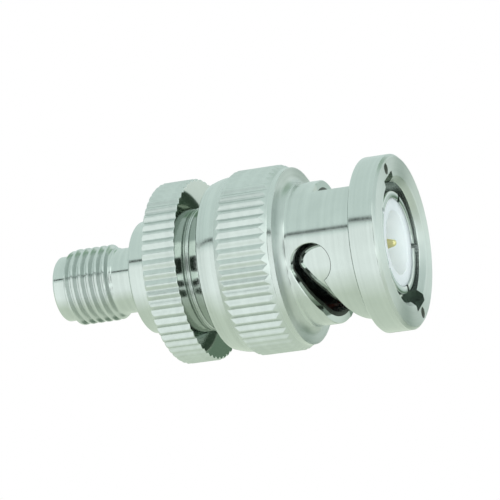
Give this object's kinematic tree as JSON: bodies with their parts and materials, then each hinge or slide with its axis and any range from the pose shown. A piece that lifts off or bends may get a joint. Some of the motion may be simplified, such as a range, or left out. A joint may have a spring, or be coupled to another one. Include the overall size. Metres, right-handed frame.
{
  "type": "bnc to sma adapter",
  "caption": "Straight coaxial adapter: a bayonet plug with a sprung, turning coupling nut, a knurled grip disc and a small threaded jack with a gilt socket.",
  "frame": {"origin": "centre of the coupling nut's front face, which the part stands on", "axes": "+Z along the axis, from the bayonet plug to the threaded jack"},
  "size_m": [0.0152, 0.0152, 0.0299],
  "materials": {
    "nickel_plate": "bright nickel on turned brass",
    "spring_steel": "rolled",
    "ptfe": "turned, waxy white",
    "gold_plate": "bright gold plate",
    "silicone": "moulded, dark red"
  },
  "bodies": {
    "adapter": {"sma_body": "nickel_plate", "bnc_body": "nickel_plate", "outer_contact": "nickel_plate", "gasket": "silicone", "wave_washer_rear": "spring_steel", "wave_washer_front": "spring_steel", "flat_washer": "spring_steel", "retaining_ring": "spring_steel", "bnc_insulator": "ptfe", "sma_insulator": "ptfe", "centre_pin": "gold_plate", "socket_contact": "gold_plate"},
    "slip_washer": {"thrust_washer": "spring_steel"},
    "nut": {"coupling_nut": "nickel_plate"}
  },
  "joints": [
    {"name": "nut_slide", "type": "slide", "parent": "adapter", "child": "slip_washer", "axis": [0, 0, -1], "range_m": [0, 0.0008], "stiffness_N_per_m": 12000, "deforming": ["wave_washer_rear", "wave_washer_front"]},
    {"name": "nut_turn", "type": "hinge", "parent": "slip_washer", "child": "nut", "pos_m": [0, 0, 0.0141], "axis": [0, 0, 1], "continuous": true}
  ]
}
